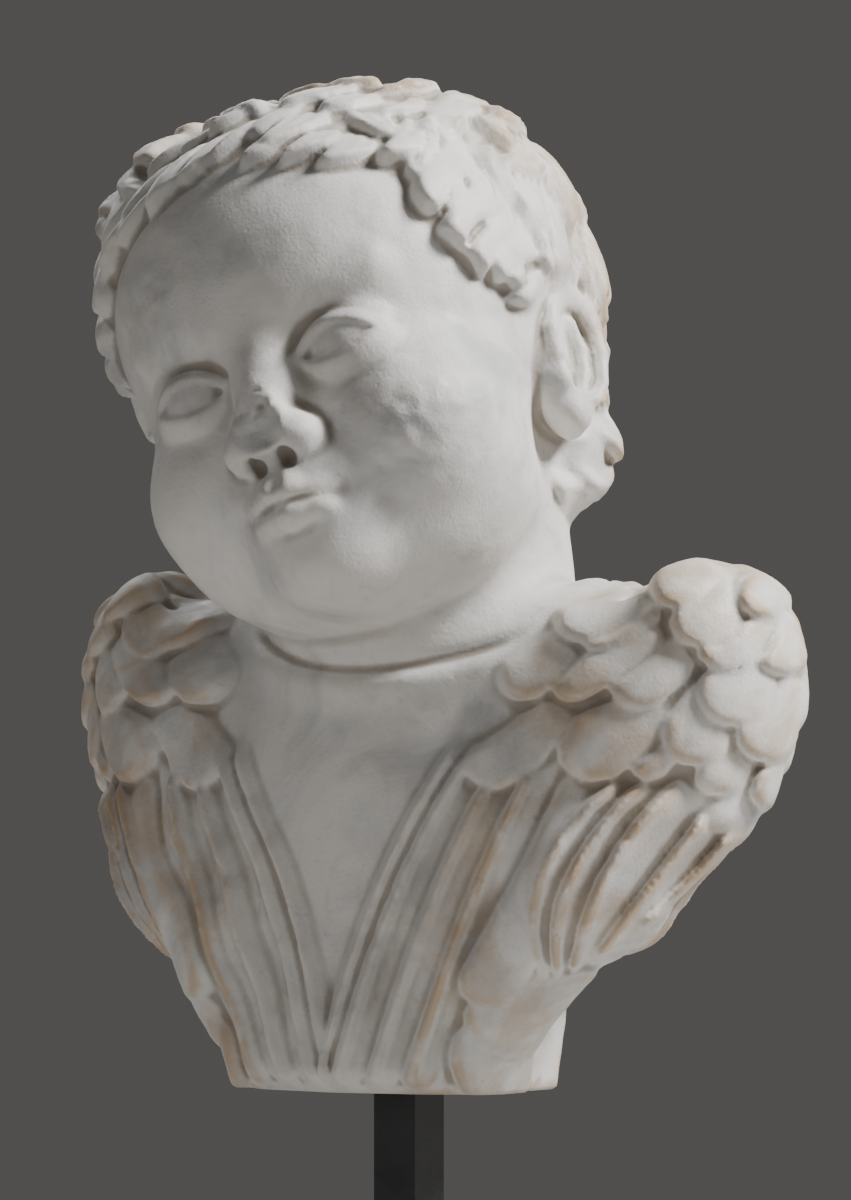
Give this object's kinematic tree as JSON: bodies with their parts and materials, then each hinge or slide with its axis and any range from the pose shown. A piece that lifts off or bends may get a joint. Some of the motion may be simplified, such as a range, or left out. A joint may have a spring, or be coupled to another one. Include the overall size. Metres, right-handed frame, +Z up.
{
  "type": "stone putto statue",
  "caption": "Carved white marble bust of a winged putto with wings folded over the shoulders, standing on a square black post with a flat foot plate.",
  "frame": {"origin": "centre of the underside of the foot plate, on the axis of the post", "axes": "+Z up, the figure faces -Y, its own left side is +X"},
  "size_m": [0.3352, 0.2312, 0.5174],
  "materials": {
    "marble": "weathered white marble with grey veins and a warm patina",
    "black_steel": "satin black paint"
  },
  "bodies": {
    "root": {"marble_bust": "marble", "post": "black_steel", "foot_plate": "black_steel"}
  },
  "joints": []
}
